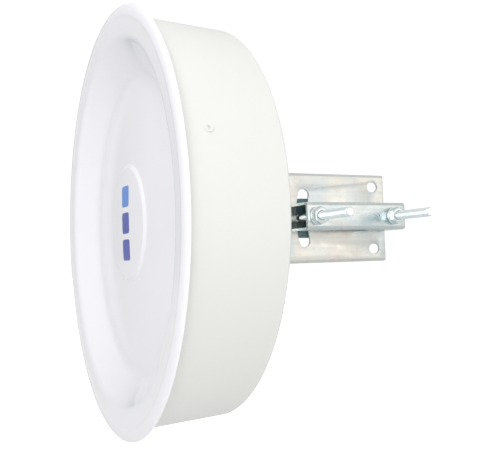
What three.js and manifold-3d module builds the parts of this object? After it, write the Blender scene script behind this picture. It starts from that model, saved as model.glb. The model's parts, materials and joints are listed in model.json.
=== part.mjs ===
// A shrouded parabolic dish antenna for a point-to-point radio link, on a steel pole clamp.
// Millimetres, +Z up. The dish looks along -Y. The origin is where the pole touches the side
// plate, midway between the two clamp bolts.
//
// The parts are laid out in the dish's own frame, and one group moves them to the origin:
//   Y is the boresight, Y = 0 is the crest of the radome's rim, and X = Z = 0 is the dish's axis.

import * as THREE from 'three';
import { mergeVertices } from 'three/addons/utils/BufferGeometryUtils.js';
import Module from 'manifold-3d';

const wasm = await Module();
wasm.setup();

// ---------------------------------------------------------------- driving dimensions

const GAP = 0.3; // air left between pieces that touch
const TAU = 2 * Math.PI;
const WIDE_SIDES = 48; // facets round the dish
const TUBE_SIDES = 24; // facets round the feed
const SMALL_SIDES = 16; // facets round bolts, washers and holes
const SCREW_SIDES = 12; // facets round screws, pins and their holes

// Radome and shroud
const RIM_RADIUS = 219.5;
const RIM_DEPTH = 4.4;
const CREST_RADIUS = 213;
const RIDGE_RADIUS = 190; // inner edge of the rim's flat land
const RIDGE_DEPTH = 1.8;
const VALLEY_RADIUS = 155;
const VALLEY_DEPTH = 26;
const FLOOR_CROWN = 9; // how far the floor bulges forward at the middle
const BOSS_RADIUS = 60;
const BOSS_HEIGHT = 1.5;
const RADOME_WALL = 3;
const SKIRT_END = 34;
const SHROUD_FRONT = 5.2;
const SHROUD_REAR = 100.1;
const SHROUD_FRONT_RADIUS = 209.4;
const SHROUD_REAR_RADIUS = 204.8;
const SHROUD_WALL = 2.5;
const SHROUD_CORNER = 3;
const SHROUD_FLANGE_RADIUS = 188;
const SHROUD_SCREW_DEPTH = 29.5;
const SHROUD_SCREW_ANGLES = [18, 138, 258];
const DRAIN_DEPTH = 88;
const DRAIN_RADIUS = 3;
const WALL_INSIDE = 190; // a hole through the shroud is cut between these radii
const WALL_OUTSIDE = 230;

// Reflector
const DISH_RADIUS = 186;
const DISH_WALL = 2;
const DISH_FLANGE_RADIUS = 198.4;
const DISH_FLANGE_FRONT = 95.3;
const VERTEX = 168; // where the parabola would reach the axis
const FLAT_RADIUS = 58;
const RIM_SCREW_COUNT = 6;
const RIM_SCREW_RADIUS = 193.5;

// Feed
const TUBE_RADIUS = 22;
const TUBE_BORE = 20;
const TUBE_FRONT = 60;
const FEED_FLANGE_RADIUS = 56;
const FEED_FLANGE_THICKNESS = 4;
const SUB_REFLECTOR_RADIUS = 33;
const SUB_REFLECTOR_FRONT = 36;
const SUB_REFLECTOR_THICKNESS = 5;
const BLOCK_LENGTH = 24;
const END_CAP_THICKNESS = 3;

// Bracket: a square base plate with a bent side plate welded behind it
const BOLT_HEIGHT = 3.5; // the bracket sits this far above the dish's axis
const BASE_SIZE = 106;
const BASE_THICKNESS = 4;
const BASE_CORNER = 9;
const HUB_BOLT_OFFSET = 35;
const SIDE_FACE = 26.6; // X of the side plate's outer face
const SIDE_THICKNESS = 3;
const SIDE_HEIGHT = 102.8;
const SIDE_FLANGE = 14.6;
const SIDE_END = 326;
const SIDE_BEND = 3.5; // outer radius
const CORNER_HOLE_Y = 310;
const CORNER_HOLE_SPACING = 73.4;
const CORNER_HOLE_RADIUS = 5.75;
const CORNER_HOLE_LENGTH = 14.5; // the holes are short slots along Y

// Pole clamp
const BOLT_RADIUS = 5;
const SLOT_BOLT_Y = 211.5;
const PIVOT_BOLT_Y = 313.5;
const SLOT_WIDTH = 14;
const SLOT_HALF_ANGLE = (14.9 * Math.PI) / 180;
const BAR_START = 200.5;
const BAR_END = 326;
const BAR_HEIGHT = 45;
const BAR_THICKNESS = 5;
const BAR_CORNER = 12;
const CHANNEL_START = 198.6;
const CHANNEL_END = 329.5;
const CHANNEL_FACE = 61.8; // X of the channel's web
const CHANNEL_HEIGHT = 30.8;
const CHANNEL_THICKNESS = 3;
const CHANNEL_BEND = 4; // outer radius
const NOTCH_FLOOR_X = 56.5;
const NOTCH_FLOOR_HALF = 13;
const NOTCH_MOUTH_HALF = 38;
const NOTCH_TEETH = 5;
const NOTCH_TOOTH_DEPTH = 1.8;
const WASHER_RADIUS = 10;
const WASHER_THICKNESS = 2;
const NUT_FLATS = 17;
const NUT_HEIGHT = 8;
const BOLT_END = 125;
const BOLT_CHAMFER = 1.2;

// ---------------------------------------------------------------- dimensions worked out from those

const POLE_Y = (SLOT_BOLT_Y + PIVOT_BOLT_Y) / 2;
const SLOT_RADIUS = PIVOT_BOLT_Y - SLOT_BOLT_Y;
const SIDE_INNER = SIDE_FACE - SIDE_THICKNESS;
const SIDE_LOW = BOLT_HEIGHT - SIDE_HEIGHT / 2;
const SIDE_HIGH = BOLT_HEIGHT + SIDE_HEIGHT / 2;
const SHROUD_SLOPE = (SHROUD_FRONT_RADIUS - SHROUD_REAR_RADIUS) / (SHROUD_REAR - SHROUD_FRONT);

// The parabola passes through the dish's rim and the vertex.
const FOUR_FOCAL = DISH_RADIUS ** 2 / (VERTEX - DISH_FLANGE_FRONT);
const dishDepth = (radius) => VERTEX - radius ** 2 / FOUR_FOCAL;
const shroudRadius = (depth) => SHROUD_FRONT_RADIUS - SHROUD_SLOPE * (depth - SHROUD_FRONT);
const floorDepth = (radius) => VALLEY_DEPTH - FLOOR_CROWN * (1 - (radius / VALLEY_RADIUS) ** 2);

const FLAT_FRONT = dishDepth(FLAT_RADIUS);
const FLAT_BACK = FLAT_FRONT + DISH_WALL;
const FEED_FLANGE_BACK = FLAT_FRONT - GAP;
const FEED_FLANGE_FRONT = FEED_FLANGE_BACK - FEED_FLANGE_THICKNESS;
const BASE_FRONT = FLAT_BACK + GAP;
const BASE_BACK = BASE_FRONT + BASE_THICKNESS;
const BLOCK_FRONT = BASE_BACK + GAP;
const BLOCK_BACK = BLOCK_FRONT + BLOCK_LENGTH;
const PORT_Y = (BLOCK_FRONT + BLOCK_BACK) / 2 + 1;

// ---------------------------------------------------------------- shape helpers

const point = (x, y) => new THREE.Vector2(x, y);

// Points on an arc, from one angle to another in degrees.
function arc(centreX, centreY, radius, from, to, steps) {
  return Array.from({ length: steps + 1 }, (_, i) => {
    const angle = THREE.MathUtils.degToRad(from + ((to - from) * i) / steps);
    return point(centreX + radius * Math.cos(angle), centreY + radius * Math.sin(angle));
  });
}

// A solid of revolution about Y. The outline holds (radius, y) points; closed outlines miss the axis.
function turned(outline, segments) {
  const points = THREE.ShapeUtils.area(outline) > 0 ? outline : [...outline].reverse();
  const onAxis = points.some((p) => p.x === 0);
  if (!onAxis) {
    return new THREE.LatheGeometry([...points, points[0]], segments);
  }
  const start = points.findIndex((p, i) => p.x === 0 && points.at(i - 1).x === 0);
  return new THREE.LatheGeometry([...points.slice(start), ...points.slice(0, start)], segments);
}

const extruded = (shape, length, curveSegments = 8) =>
  new THREE.ExtrudeGeometry(shape, { depth: length, bevelEnabled: false, curveSegments });

// Turns that keep a shape's handedness: each sends the local axes to the world axes named.
const basis = (x, y, z) => new THREE.Matrix4().makeBasis(x, y, z);
const [AX, AY, AZ] = [point3(1, 0, 0), point3(0, 1, 0), point3(0, 0, 1)];
const DRAWN_YZ = basis(AY, AZ, AX); // outline in (y, z), thickness along +X
const DRAWN_ZX = basis(AZ, AX, AY); // outline in (z, x), thickness along +Y
const TURNED_X = basis(AZ, AX, AY); // turned about Y, laid along +X

function point3(x, y, z) {
  return new THREE.Vector3(x, y, z);
}

function moved(geometry, x, y, z) {
  return geometry.clone().translate(x, y, z);
}

function rod(radius, from, to, sides) {
  return turned([point(0, from), point(radius, from), point(radius, to), point(0, to)], sides);
}

const rodX = (radius, from, to, y, z, sides = SMALL_SIDES) =>
  moved(rod(radius, from, to, sides).applyMatrix4(TURNED_X), 0, y, z);

const rodY = (radius, from, to, x, z, sides = SMALL_SIDES) =>
  moved(rod(radius, from, to, sides), x, 0, z);

// A rod that runs outwards from the dish's axis, at an angle about Y.
function rodOut(radius, from, to, depth, degrees, sides = SMALL_SIDES) {
  const spoke = rodX(radius, from, to, 0, 0, sides);
  spoke.rotateY(THREE.MathUtils.degToRad(-degrees));
  return moved(spoke, 0, depth, 0);
}

// ---------------------------------------------------------------- joining and cutting

function toSolid(geometry) {
  const bare = geometry.clone();
  bare.deleteAttribute('normal');
  bare.deleteAttribute('uv');
  const merged = mergeVertices(bare);
  const index = merged.index.array;
  const triVerts = [];
  for (let i = 0; i < index.length; i += 3) {
    const [a, b, c] = index.slice(i, i + 3);
    if (a !== b && b !== c && c !== a) {
      triVerts.push(a, b, c);
    }
  }
  return new wasm.Manifold(
    new wasm.Mesh({
      numProp: 3,
      vertProperties: new Float32Array(merged.attributes.position.array),
      triVerts: new Uint32Array(triVerts),
    }),
  );
}

function toGeometry(solid) {
  const mesh = solid.getMesh();
  const geometry = new THREE.BufferGeometry();
  geometry.setAttribute('position', new THREE.BufferAttribute(mesh.vertProperties, 3));
  geometry.setIndex(new THREE.BufferAttribute(mesh.triVerts, 1));
  geometry.computeVertexNormals();
  return geometry;
}

function cut(body, tools) {
  return toGeometry(tools.reduce((solid, tool) => solid.subtract(toSolid(tool)), toSolid(body)));
}

function join(...pieces) {
  return toGeometry(pieces.map(toSolid).reduce((whole, piece) => whole.add(piece)));
}

// ---------------------------------------------------------------- materials

const finish = (color, roughness, metalness) => ({ color, roughness, metalness });
const RADOME_WHITE = finish(0xf4f4f8, 0.25, 0);
const SHROUD_WHITE = finish(0xf0efe9, 0.5, 0);
const ALUMINIUM = finish(0xc9ccd0, 0.35, 1);
const ZINC = finish(0xd6d9d4, 0.32, 1);
const DARK_STEEL = finish(0x5e6361, 0.4, 1);
const BRIGHT_ZINC = finish(0xdfe6ea, 0.25, 1);
const BRASS = finish(0xc9a85c, 0.3, 1);
const NICKEL = finish(0xbfbdb4, 0.3, 1);
const PTFE = finish(0xf5f5f2, 0.5, 0);
const RUBBER = finish(0x3a3b3c, 0.8, 0);

const antenna = new THREE.Group();

function add(name, geometry, look) {
  const mesh = new THREE.Mesh(geometry, new THREE.MeshStandardMaterial(look));
  mesh.name = name;
  antenna.add(mesh);
}

// ---------------------------------------------------------------- radome

// The rim rolls back from its crest in a quarter of an ellipse, here at a few fractions of its width.
const rimRoll = (fractions) =>
  fractions.map((fraction) => {
    const drop = 1 - Math.sqrt(1 - fraction ** 2);
    return point(CREST_RADIUS + fraction * (RIM_RADIUS - CREST_RADIUS), drop * (RIM_DEPTH - 0.4));
  });

function radomeOutline() {
  const skirtOuter = (depth) => shroudRadius(depth) - SHROUD_WALL - 2 * GAP;
  const gasketSeat = SHROUD_FRONT - 2;
  const floor = [60.5, 110, 148].map((radius) => point(radius, floorDepth(radius)));
  const boss = [0, 40].map((radius) => point(radius, floorDepth(radius) - BOSS_HEIGHT));
  const bossEdge = point(BOSS_RADIUS - 1.5, floorDepth(BOSS_RADIUS) - BOSS_HEIGHT + 0.3);
  const front = [
    ...boss,
    bossEdge,
    ...floor,
    point(157, VALLEY_DEPTH - 0.6),
    point(161, VALLEY_DEPTH - 2.7),
    point(165, VALLEY_DEPTH - 5.6),
    point(RIDGE_RADIUS - 2.5, RIDGE_DEPTH + 1.6),
    point(RIDGE_RADIUS, RIDGE_DEPTH),
    point(RIDGE_RADIUS + 2.5, RIDGE_DEPTH - 0.5),
    point(CREST_RADIUS - 5.5, 0.6),
    point(CREST_RADIUS, 0),
    ...rimRoll([0.35, 0.62, 0.83, 0.96, 1]),
    point(RIM_RADIUS - 0.5, RIM_DEPTH),
  ];
  const back = [
    point(SHROUD_FRONT_RADIUS + 1, RIM_DEPTH),
    point(SHROUD_FRONT_RADIUS + 1, gasketSeat),
    point(skirtOuter(gasketSeat), gasketSeat),
    point(skirtOuter(SKIRT_END), SKIRT_END),
    point(skirtOuter(SKIRT_END) - SHROUD_WALL, SKIRT_END),
    point(skirtOuter(4) - SHROUD_WALL, RADOME_WALL + 1),
    point(RIDGE_RADIUS + 2.5, RIDGE_DEPTH + RADOME_WALL - 0.2),
    point(RIDGE_RADIUS - 1, RIDGE_DEPTH + RADOME_WALL + 1.2),
    point(166.5, VALLEY_DEPTH - 3),
    point(157, VALLEY_DEPTH + 2.5),
    point(146, floorDepth(148) + RADOME_WALL),
    point(90, floorDepth(90) + RADOME_WALL),
    point(0, floorDepth(0) + RADOME_WALL),
  ];
  return [...front, ...back];
}

const shroudScrewHoles = (radius) =>
  SHROUD_SCREW_ANGLES.map((angle) => rodOut(radius, WALL_INSIDE, WALL_OUTSIDE, SHROUD_SCREW_DEPTH, angle));

function makeRadome() {
  add('radome', cut(turned(radomeOutline(), WIDE_SIDES), shroudScrewHoles(2.4)), RADOME_WHITE);
}

function makeGasket() {
  const inner = SHROUD_FRONT_RADIUS - SHROUD_WALL + GAP;
  const outline = [
    point(inner, SHROUD_FRONT - 1.8),
    point(SHROUD_FRONT_RADIUS, SHROUD_FRONT - 1.8),
    point(SHROUD_FRONT_RADIUS, SHROUD_FRONT - 0.2),
    point(inner, SHROUD_FRONT - 0.2),
  ];
  add('radome_gasket', turned(outline, WIDE_SIDES), RUBBER);
}

// ---------------------------------------------------------------- shroud

function shroudOutline() {
  const cornerRadius = SHROUD_REAR_RADIUS - SHROUD_CORNER;
  const cornerDepth = SHROUD_REAR - SHROUD_CORNER;
  const inner = SHROUD_CORNER - SHROUD_WALL;
  return [
    point(SHROUD_FRONT_RADIUS, SHROUD_FRONT),
    ...arc(cornerRadius, cornerDepth, SHROUD_CORNER, 0, 90, 3),
    point(SHROUD_FLANGE_RADIUS, SHROUD_REAR),
    point(SHROUD_FLANGE_RADIUS, SHROUD_REAR - SHROUD_WALL),
    ...arc(cornerRadius, cornerDepth, inner, 90, 0, 2),
    point(SHROUD_FRONT_RADIUS - SHROUD_WALL, SHROUD_FRONT),
  ];
}

function makeShroud() {
  const drain = rodOut(DRAIN_RADIUS, WALL_INSIDE, WALL_OUTSIDE, DRAIN_DEPTH, 270);
  const body = turned(shroudOutline(), WIDE_SIDES);
  add('shroud', cut(body, [...shroudScrewHoles(2.4), ...rimScrewHoles(), drain]), SHROUD_WHITE);
}

function makeShroudScrews() {
  const seat = shroudRadius(SHROUD_SCREW_DEPTH);
  const outline = [
    point(0, seat - 9),
    point(2, seat - 9),
    point(2, seat + GAP),
    point(4.5, seat + GAP),
    point(4.5, seat + 0.7),
    point(3.4, seat + 1.1),
    point(0, seat + 1.1),
  ];
  SHROUD_SCREW_ANGLES.forEach((angle, i) => {
    const screw = turned(outline, SCREW_SIDES).applyMatrix4(TURNED_X);
    screw.rotateY(THREE.MathUtils.degToRad(-angle));
    add(`shroud_screw_${i + 1}`, moved(screw, 0, SHROUD_SCREW_DEPTH, 0), SHROUD_WHITE);
  });
}

// ---------------------------------------------------------------- reflector

function rimScrewPlaces() {
  return Array.from({ length: RIM_SCREW_COUNT }, (_, i) => {
    const angle = ((i + 0.5) * TAU) / RIM_SCREW_COUNT;
    return [RIM_SCREW_RADIUS * Math.cos(angle), RIM_SCREW_RADIUS * Math.sin(angle)];
  });
}

const rimScrewHoles = () =>
  rimScrewPlaces().map(([x, z]) => rodY(2.3, DISH_FLANGE_FRONT - 3, SHROUD_REAR + 3, x, z, 8));

function hubBoltPlaces() {
  return [-1, 1].flatMap((sx) => [-1, 1].map((sz) => [sx * HUB_BOLT_OFFSET, sz * HUB_BOLT_OFFSET]));
}

const hubBoltHoles = () =>
  hubBoltPlaces().map(([x, z]) => rodY(3.4, FEED_FLANGE_FRONT - 3, BASE_BACK + 3, x, z, SCREW_SIDES));

function makeReflector() {
  const radii = [FLAT_RADIUS, 86, 112, 138, 163, DISH_RADIUS];
  const front = radii.map((radius) => point(radius, dishDepth(radius)));
  const back = [...radii].reverse().map((radius) => point(radius, dishDepth(radius) + DISH_WALL));
  const outline = [
    point(TUBE_RADIUS + GAP, FLAT_FRONT),
    ...front,
    point(DISH_FLANGE_RADIUS, DISH_FLANGE_FRONT),
    point(DISH_FLANGE_RADIUS, DISH_FLANGE_FRONT + DISH_WALL),
    ...back,
    point(TUBE_RADIUS + GAP, FLAT_BACK),
  ];
  add('reflector', cut(turned(outline, WIDE_SIDES), [...hubBoltHoles(), ...rimScrewHoles()]), ALUMINIUM);
}

function makeRimScrews() {
  const seat = SHROUD_REAR + GAP;
  const outline = [
    point(0, DISH_FLANGE_FRONT - 2),
    point(2, DISH_FLANGE_FRONT - 2),
    point(2, seat),
    point(4, seat),
    point(4, seat + 1.4),
    point(3, seat + 2.4),
    point(0, seat + 2.4),
  ];
  rimScrewPlaces().forEach(([x, z], i) => {
    add(`rim_screw_${i + 1}`, moved(turned(outline, SCREW_SIDES), x, 0, z), BRIGHT_ZINC);
  });
}

// ---------------------------------------------------------------- feed

function makeFeedFlange() {
  const outline = [
    point(TUBE_RADIUS + GAP, FEED_FLANGE_FRONT),
    point(FEED_FLANGE_RADIUS - 1, FEED_FLANGE_FRONT),
    point(FEED_FLANGE_RADIUS, FEED_FLANGE_FRONT + 1),
    point(FEED_FLANGE_RADIUS, FEED_FLANGE_BACK),
    point(TUBE_RADIUS + GAP, FEED_FLANGE_BACK),
  ];
  add('feed_flange', cut(turned(outline, TUBE_SIDES), hubBoltHoles()), ALUMINIUM);
}

function makeFeedTube() {
  const outline = [
    point(TUBE_BORE, TUBE_FRONT),
    point(TUBE_RADIUS, TUBE_FRONT),
    point(TUBE_RADIUS, BASE_BACK),
    point(TUBE_BORE, BASE_BACK),
  ];
  add('feed_tube', turned(outline, TUBE_SIDES), ALUMINIUM);
}

function makeFeedHead() {
  const disc = SUB_REFLECTOR_FRONT + SUB_REFLECTOR_THICKNESS;
  const cone = [
    point(0, disc + GAP),
    point(SUB_REFLECTOR_RADIUS - 1.5, disc + GAP),
    point(SUB_REFLECTOR_RADIUS - 1.5, disc + 3),
    point(TUBE_RADIUS, TUBE_FRONT - GAP),
    point(TUBE_BORE - GAP, TUBE_FRONT - GAP),
    point(TUBE_BORE - GAP, TUBE_FRONT + 14),
    point(7, TUBE_FRONT + 32),
    point(0, TUBE_FRONT + 32),
  ];
  const splash = [
    point(0, SUB_REFLECTOR_FRONT),
    point(SUB_REFLECTOR_RADIUS - 1, SUB_REFLECTOR_FRONT),
    point(SUB_REFLECTOR_RADIUS, SUB_REFLECTOR_FRONT + 1),
    point(SUB_REFLECTOR_RADIUS, disc),
    point(0, disc),
  ];
  const screw = [
    point(0, SUB_REFLECTOR_FRONT - 2.6),
    point(3, SUB_REFLECTOR_FRONT - 2.6),
    point(4, SUB_REFLECTOR_FRONT - 1.6),
    point(4, SUB_REFLECTOR_FRONT - GAP),
    point(2, SUB_REFLECTOR_FRONT - GAP),
    point(2, disc + 14),
    point(0, disc + 14),
  ];
  const bore = rodY(2.3, SUB_REFLECTOR_FRONT - 5, disc + 15, 0, 0);
  add('feed_dielectric', cut(turned(cone, TUBE_SIDES), [bore]), PTFE);
  add('sub_reflector', cut(turned(splash, TUBE_SIDES), [bore]), ALUMINIUM);
  add('sub_reflector_screw', turned(screw, SCREW_SIDES), BRIGHT_ZINC);
}

// A port's pieces lie along +Y from the block's face, and this turns them to the port's side.
const PORT_TURNS = [
  new THREE.Matrix4().makeRotationX(-Math.PI / 2), // down
  new THREE.Matrix4().makeRotationZ(Math.PI / 2), // away from the side plate
];

function portPlaced(geometry, turn) {
  return moved(moved(geometry, 0, TUBE_RADIUS, 0).applyMatrix4(turn), 0, PORT_Y, 0);
}

function roundedPlate(width, height, corner) {
  const [x, y] = [width / 2 - corner, height / 2 - corner];
  const outline = [
    ...arc(x, y, corner, 0, 90, 4),
    ...arc(-x, y, corner, 90, 180, 4),
    ...arc(-x, -y, corner, 180, 270, 4),
    ...arc(x, -y, corner, 270, 360, 4),
  ];
  return new THREE.Shape(outline);
}

function makeTransducer() {
  const shape = roundedPlate(2 * TUBE_RADIUS, 2 * TUBE_RADIUS, 4);
  const body = moved(extruded(shape, BLOCK_LENGTH).applyMatrix4(DRAWN_ZX), 0, BLOCK_FRONT, 0);
  const bore = rodY(TUBE_BORE, BLOCK_FRONT - 1, BLOCK_BACK + 1, 0, 0, TUBE_SIDES);
  const portBores = PORT_TURNS.map((turn) => portPlaced(rodY(3.4, -6, 1, 0, 0, SCREW_SIDES), turn));
  add('transducer_block', cut(body, [bore, ...portBores]), ALUMINIUM);

  const cap = [
    point(0, BLOCK_BACK - 4),
    point(TUBE_BORE - GAP, BLOCK_BACK - 4),
    point(TUBE_BORE - GAP, BLOCK_BACK + GAP),
    point(TUBE_RADIUS - 0.5, BLOCK_BACK + GAP),
    point(TUBE_RADIUS - 0.5, BLOCK_BACK + GAP + END_CAP_THICKNESS),
    point(0, BLOCK_BACK + GAP + END_CAP_THICKNESS),
  ];
  add('transducer_end_cap', turned(cap, TUBE_SIDES), ALUMINIUM);
}

function makePort(number, turn) {
  const flange = moved(extruded(roundedPlate(20, 20, 2.5), 3).applyMatrix4(DRAWN_ZX), 0, GAP, 0);
  const barrel = [point(0, GAP), point(7.9, GAP), point(7.9, 21), point(7.2, 21.7), point(0, 21.7)];
  const throat = rodY(3.3, -1, 23, 0, 0, SCREW_SIDES);
  const socket = rodY(5.4, 9, 23, 0, 0);
  const shell = cut(join(flange, turned(barrel, TUBE_SIDES)), [throat, socket]);
  add(`port_shell_${number}`, portPlaced(shell, turn), NICKEL);

  const sleeve = [point(1.8, -2), point(3, -2), point(3, 12), point(1.8, 12)];
  add(`port_insulator_${number}`, portPlaced(turned(sleeve, SCREW_SIDES), turn), PTFE);

  const pin = [point(0, -14), point(1.5, -14), point(1.5, 16), point(1, 17), point(0, 17)];
  add(`port_pin_${number}`, portPlaced(turned(pin, SCREW_SIDES), turn), BRASS);
}

// ---------------------------------------------------------------- bracket

function makeBasePlate() {
  const shape = roundedPlate(BASE_SIZE, BASE_SIZE, BASE_CORNER);
  const body = moved(extruded(shape, BASE_THICKNESS).applyMatrix4(DRAWN_ZX), 0, BASE_FRONT, BOLT_HEIGHT);
  const centre = rodY(TUBE_RADIUS + GAP, BASE_FRONT - 3, BASE_BACK + 3, 0, 0, TUBE_SIDES);
  add('base_plate', cut(body, [centre, ...hubBoltHoles()]), ZINC);
}

// A plate bent into a channel: its web faces +X and its two flanges reach back to tipX.
function bentChannel({ tipX, faceX, low, high, thickness, bend, from, to }) {
  const inner = bend - thickness;
  const outline = [
    point(tipX, low),
    ...arc(faceX - bend, low + bend, bend, -90, 0, 4),
    ...arc(faceX - bend, high - bend, bend, 0, 90, 4),
    point(tipX, high),
    point(tipX, high - thickness),
    ...arc(faceX - bend, high - bend, inner, 90, 0, 3),
    ...arc(faceX - bend, low + bend, inner, 0, -90, 3),
    point(tipX, low + thickness),
  ];
  const swapped = outline.map((p) => point(p.y, p.x));
  return moved(extruded(new THREE.Shape(swapped), to - from).applyMatrix4(DRAWN_ZX), 0, from, 0);
}

// The arc slot follows a circle about the pivot bolt, on the dish's side of it.
function slotTool() {
  const half = SLOT_WIDTH / 2;
  const degrees = THREE.MathUtils.radToDeg(SLOT_HALF_ANGLE);
  const end = (sign) =>
    point(
      PIVOT_BOLT_Y - SLOT_RADIUS * Math.cos(SLOT_HALF_ANGLE),
      BOLT_HEIGHT + sign * SLOT_RADIUS * Math.sin(SLOT_HALF_ANGLE),
    );
  const [low, high] = [end(-1), end(1)];
  const outline = [
    ...arc(PIVOT_BOLT_Y, BOLT_HEIGHT, SLOT_RADIUS + half, 180 - degrees, 180 + degrees, 8),
    ...arc(low.x, low.y, half, 180 + degrees, 360 + degrees, 8).slice(1, -1),
    ...arc(PIVOT_BOLT_Y, BOLT_HEIGHT, SLOT_RADIUS - half, 180 + degrees, 180 - degrees, 8),
    ...arc(high.x, high.y, half, -degrees, 180 - degrees, 8).slice(1, -1),
  ];
  return moved(extruded(new THREE.Shape(outline), SIDE_FLANGE).applyMatrix4(DRAWN_YZ), SIDE_INNER - 5, 0, 0);
}

function cornerHoleTool(z) {
  const shape = roundedPlate(CORNER_HOLE_LENGTH, 2 * CORNER_HOLE_RADIUS, CORNER_HOLE_RADIUS - 0.01);
  return moved(extruded(shape, SIDE_FLANGE).applyMatrix4(DRAWN_YZ), SIDE_INNER - 5, CORNER_HOLE_Y, z);
}

function makeSidePlate() {
  const body = bentChannel({
    tipX: SIDE_FACE - SIDE_FLANGE,
    faceX: SIDE_FACE,
    low: SIDE_LOW,
    high: SIDE_HIGH,
    thickness: SIDE_THICKNESS,
    bend: SIDE_BEND,
    from: BASE_BACK + GAP,
    to: SIDE_END,
  });
  const pivotHole = rodX(BOLT_RADIUS + 0.5, SIDE_INNER - 2, SIDE_FACE + 2, PIVOT_BOLT_Y, BOLT_HEIGHT);
  const cornerHoles = [-1, 1].map((side) => cornerHoleTool(BOLT_HEIGHT + (side * CORNER_HOLE_SPACING) / 2));
  add('side_plate', cut(body, [slotTool(), pivotHole, ...cornerHoles]), ZINC);
}

// A hexagon with two of its flats facing along the outline's first axis.
function hexShape(flats) {
  return new THREE.Shape(arc(0, 0, flats / Math.sqrt(3), 30, 330, 5));
}

function makeHubFasteners() {
  const bolt = (x, z) => {
    const head = extruded(hexShape(10), 4).applyMatrix4(DRAWN_ZX);
    const shank = rodY(3, FEED_FLANGE_FRONT - 2, BASE_BACK + 11, 0, 0, SCREW_SIDES);
    return moved(join(moved(head, 0, FEED_FLANGE_FRONT - GAP - 4, 0), shank), x, 0, z);
  };
  const washer = (x, z) => {
    const from = BASE_BACK + GAP;
    const outline = [point(3.3, from), point(6, from), point(6, from + 1.2), point(3.3, from + 1.2)];
    return moved(turned(outline, SMALL_SIDES), x, 0, z);
  };
  const nut = (x, z) => {
    const from = BASE_BACK + 2 * GAP + 1.2;
    const body = moved(extruded(hexShape(10), 5).applyMatrix4(DRAWN_ZX), 0, from, 0);
    return moved(cut(body, [rodY(3.3, from - 1, from + 6, 0, 0, SCREW_SIDES)]), x, 0, z);
  };
  hubBoltPlaces().forEach(([x, z], i) => {
    add(`hub_bolt_${i + 1}`, bolt(x, z), BRIGHT_ZINC);
    add(`hub_washer_${i + 1}`, washer(x, z), BRIGHT_ZINC);
    add(`hub_nut_${i + 1}`, nut(x, z), BRIGHT_ZINC);
  });
}

// ---------------------------------------------------------------- pole clamp

const BAR_FACE = SIDE_INNER - GAP;
const BAR_BACK = BAR_FACE - BAR_THICKNESS;
const HEAD_FACE = BAR_BACK - GAP;
const NECK = 10; // side of the carriage bolts' square neck
const HEAD_RADIUS = 12;
const HEAD_HEIGHT = 5.4;
const DOME_RADIUS = 16.9;
const BOLT_PLACES = { slot: SLOT_BOLT_Y, pivot: PIVOT_BOLT_Y };

const squareRodX = (side, from, to, y) =>
  moved(
    extruded(roundedPlate(side, side, 1), to - from).applyMatrix4(DRAWN_YZ),
    from,
    y,
    BOLT_HEIGHT,
  );

function makeBackingBar() {
  const shape = roundedPlate(BAR_END - BAR_START, BAR_HEIGHT, BAR_CORNER);
  const body = moved(
    extruded(shape, BAR_THICKNESS).applyMatrix4(DRAWN_YZ),
    BAR_BACK,
    (BAR_START + BAR_END) / 2,
    BOLT_HEIGHT,
  );
  const neckHole = (y) => squareRodX(NECK + 2 * GAP, BAR_BACK - 2, BAR_FACE + 2, y);
  const holes = Object.values(BOLT_PLACES).map(neckHole);
  add('backing_bar', cut(body, holes), DARK_STEEL);
}

function makeCarriageBolt(name, y) {
  const dome = [
    point(0, HEAD_FACE - HEAD_HEIGHT),
    ...arc(0, HEAD_FACE - HEAD_HEIGHT + DOME_RADIUS, DOME_RADIUS, -80, -46, 4),
    point(HEAD_RADIUS, HEAD_FACE),
    point(0, HEAD_FACE),
  ];
  const shank = [
    point(0, HEAD_FACE),
    point(BOLT_RADIUS, HEAD_FACE),
    point(BOLT_RADIUS, BOLT_END - BOLT_CHAMFER),
    point(BOLT_RADIUS - BOLT_CHAMFER, BOLT_END),
    point(0, BOLT_END),
  ];
  const [head, stem] = [dome, shank].map((outline) =>
    moved(turned(outline, SMALL_SIDES).applyMatrix4(TURNED_X), 0, y, BOLT_HEIGHT),
  );
  const neck = squareRodX(NECK, HEAD_FACE - 1, BAR_FACE - GAP, y);
  add(name, join(head, neck, stem), BRIGHT_ZINC);
}

// One side of the pole notch: a straight slant from the mouth to the floor, cut into teeth.
function toothedSide(sign) {
  const mouth = point(SIDE_FACE - 1, POLE_Y + sign * NOTCH_MOUTH_HALF);
  const floor = point(NOTCH_FLOOR_X, POLE_Y + sign * NOTCH_FLOOR_HALF);
  const along = floor.clone().sub(mouth);
  const outward = point(-along.y, along.x).normalize().multiplyScalar(sign * NOTCH_TOOTH_DEPTH);
  const points = [mouth];
  for (let tooth = 0; tooth < NOTCH_TEETH; tooth += 1) {
    const root = mouth.clone().addScaledVector(along, (tooth + 0.5) / NOTCH_TEETH).add(outward);
    const tip = mouth.clone().addScaledVector(along, (tooth + 1) / NOTCH_TEETH);
    points.push(root, tip);
  }
  return points;
}

function makeClampChannel() {
  const low = BOLT_HEIGHT - CHANNEL_HEIGHT / 2;
  const high = BOLT_HEIGHT + CHANNEL_HEIGHT / 2;
  const body = bentChannel({
    tipX: SIDE_FACE + GAP,
    faceX: CHANNEL_FACE,
    low,
    high,
    thickness: CHANNEL_THICKNESS,
    bend: CHANNEL_BEND,
    from: CHANNEL_START,
    to: CHANNEL_END,
  });
  const notch = moved(
    extruded(new THREE.Shape([...toothedSide(-1), ...toothedSide(1).reverse()]), CHANNEL_HEIGHT + 4),
    0,
    0,
    low - 2,
  );
  const holes = Object.values(BOLT_PLACES).map((y) =>
    rodX(BOLT_RADIUS + 0.5, CHANNEL_FACE - CHANNEL_THICKNESS - 2, CHANNEL_FACE + 2, y, BOLT_HEIGHT),
  );
  add('clamp_channel', cut(body, [notch, ...holes]), ZINC);
}

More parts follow.
